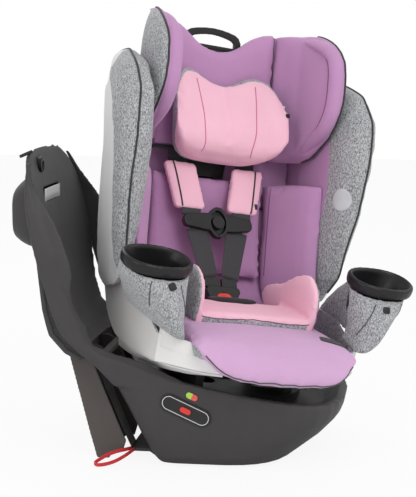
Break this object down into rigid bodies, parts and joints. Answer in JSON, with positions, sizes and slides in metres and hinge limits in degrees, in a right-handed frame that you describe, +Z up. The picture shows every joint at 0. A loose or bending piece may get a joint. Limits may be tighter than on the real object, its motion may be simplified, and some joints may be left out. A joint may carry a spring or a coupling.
{
  "type": "convertible child car seat",
  "caption": "Swivelling child car seat on a base with a leaning back panel: padded shell, wing headrest, five-point harness, chest clip and side cup holders.",
  "frame": {"origin": "on the floor plane, at the middle of the centre grip pad under the base, below the swivel axis", "axes": "+Z up from the floor, +Y towards the base's back panel, +X across the base; the control plate is on the -X side"},
  "size_m": [0.6175, 0.6681, 0.7536],
  "materials": {
    "base_plastic": "fine-grained dark grey",
    "rear_plastic": "brown-grey",
    "black_plastic": "black",
    "cup_plastic": "black, satin",
    "shell_plastic": "pale grey",
    "rubber": "dark",
    "acetal": "natural",
    "steel": "plated",
    "dark_steel": "dark powder coat",
    "red_plastic": "red",
    "lens": "green and red",
    "bezel": "dark with a pale outline",
    "lilac_fabric": "lilac knit",
    "pale_lilac_fabric": "pale lilac knit",
    "pink_fabric": "pink plush",
    "grey_fabric": "grey melange",
    "foam": "foam under the cover",
    "liner": "lilac lining",
    "webbing": "woven black",
    "red_webbing": "woven red"
  },
  "bodies": {
    "base": {"base_housing": "base_plastic", "back_panel": "base_plastic", "rear_cover": "base_plastic", "rear_leg": "rear_plastic", "base_plate": "base_plastic", "grip_pads": "rubber", "slide_ring": "acetal", "pivot_hub": "steel", "hub_cap": "black_plastic", "control_bezel": "bezel", "lock_indicator": "lens", "plunger_spring": "steel", "strap_hook": "black_plastic", "strap_cap": "black_plastic", "anchor_webbing": "webbing", "pull_loop": "red_webbing"},
    "lock_button": {"lock_button": "red_plastic"},
    "lock_plunger": {"lock_plunger": "steel"},
    "turntable": {"turntable": "black_plastic", "recline_rails": "dark_steel"},
    "seat": {"recline_runners": "dark_steel", "seat_shell": "shell_plastic", "shell_back_cover": "shell_plastic", "pan_foam": "foam", "back_foam": "foam", "back_liner": "liner", "shell_dish_left": "shell_plastic", "shell_dish_right": "shell_plastic", "seat_cushion": "pale_lilac_fabric", "back_pad": "lilac_fabric", "inner_bolster_left": "lilac_fabric", "inner_bolster_right": "lilac_fabric", "side_bolster_left": "grey_fabric", "side_bolster_right": "grey_fabric", "cup_pod_left": "grey_fabric", "cup_pod_right": "grey_fabric", "body_insert": "pink_fabric", "crotch_strap": "webbing", "buckle": "black_plastic", "buckle_tongues": "black_plastic", "lower_straps": "webbing", "headrest_rack": "dark_steel"},
    "recline_lever": {"recline_lever": "black_plastic"},
    "buckle_button": {"buckle_button": "red_plastic"},
    "cup_left": {"cup_left": "cup_plastic"},
    "cup_right": {"cup_right": "cup_plastic"},
    "headrest": {"headrest_frame": "black_plastic", "headrest_pad": "lilac_fabric", "headrest_wing_left": "lilac_fabric", "headrest_wing_right": "lilac_fabric", "head_pillow": "pink_fabric", "harness_yoke": "webbing", "shoulder_pad_left": "pink_fabric", "shoulder_pad_right": "pink_fabric", "upper_straps": "webbing"},
    "headrest_handle": {"headrest_handle": "black_plastic"},
    "chest_clip": {"chest_clip_left": "black_plastic", "chest_clip_right": "black_plastic"},
    "clip_button": {"clip_button": "black_plastic"}
  },
  "joints": [
    {"name": "swivel", "type": "hinge", "parent": "base", "child": "turntable", "pos_m": [0, 0.005, 0.155], "axis": [0, -0.1891, 0.982], "continuous": true},
    {"name": "recline", "type": "hinge", "parent": "turntable", "child": "seat", "pos_m": [-0.0167, -0.04363, 0.34931], "axis": [-0.5505, 0.8198, 0.1579], "range_deg": [0, 14]},
    {"name": "recline_lever", "type": "slide", "parent": "seat", "child": "recline_lever", "axis": [-0.8348, -0.5405, -0.1041], "range_m": [0, 0.005], "stiffness_N_per_m": 400, "springref_m": -0.002},
    {"name": "headrest_height", "type": "slide", "parent": "seat", "child": "headrest", "axis": [0.2118, -0.0457, 0.9762], "range_m": [-0.026, 0.144], "deforming": ["lower_straps"]},
    {"name": "headrest_handle", "type": "slide", "parent": "headrest", "child": "headrest_handle", "axis": [0.2118, -0.0457, 0.9762], "range_m": [0, 0.008], "stiffness_N_per_m": 500, "springref_m": -0.003},
    {"name": "chest_clip_height", "type": "slide", "parent": "headrest", "child": "chest_clip", "axis": [0.4262, 0.1134, 0.8975], "range_m": [-0.02, 0], "deforming": ["lower_straps"]},
    {"name": "clip_button", "type": "slide", "parent": "chest_clip", "child": "clip_button", "axis": [0.7178, 0.5613, -0.4118], "range_m": [0, 0.002], "stiffness_N_per_m": 500, "springref_m": -0.001},
    {"name": "buckle_button", "type": "slide", "parent": "seat", "child": "buckle_button", "axis": [0.7178, 0.5613, -0.4118], "range_m": [0, 0.003], "stiffness_N_per_m": 800, "springref_m": -0.002},
    {"name": "cup_left_lift", "type": "slide", "parent": "seat", "child": "cup_left", "axis": [-0.1736, -0.2974, 0.9389], "range_m": [0, 0.08]},
    {"name": "cup_right_lift", "type": "slide", "parent": "seat", "child": "cup_right", "axis": [-0.1736, -0.2974, 0.9389], "range_m": [0, 0.08]},
    {"name": "lock_button", "type": "slide", "parent": "base", "child": "lock_button", "axis": [1, 0, 0], "range_m": [0, 0.003], "stiffness_N_per_m": 400, "springref_m": -0.002},
    {"name": "lock_plunger", "type": "slide", "parent": "base", "child": "lock_plunger", "axis": [0, 0.1891, -0.982], "range_m": [0, 0.004], "stiffness_N_per_m": 400, "springref_m": -0.002, "deforming": ["plunger_spring"]}
  ],
  "couplings": [
    {"joint": "lock_plunger", "follows": "lock_button", "ratio": 1.3333}
  ]
}
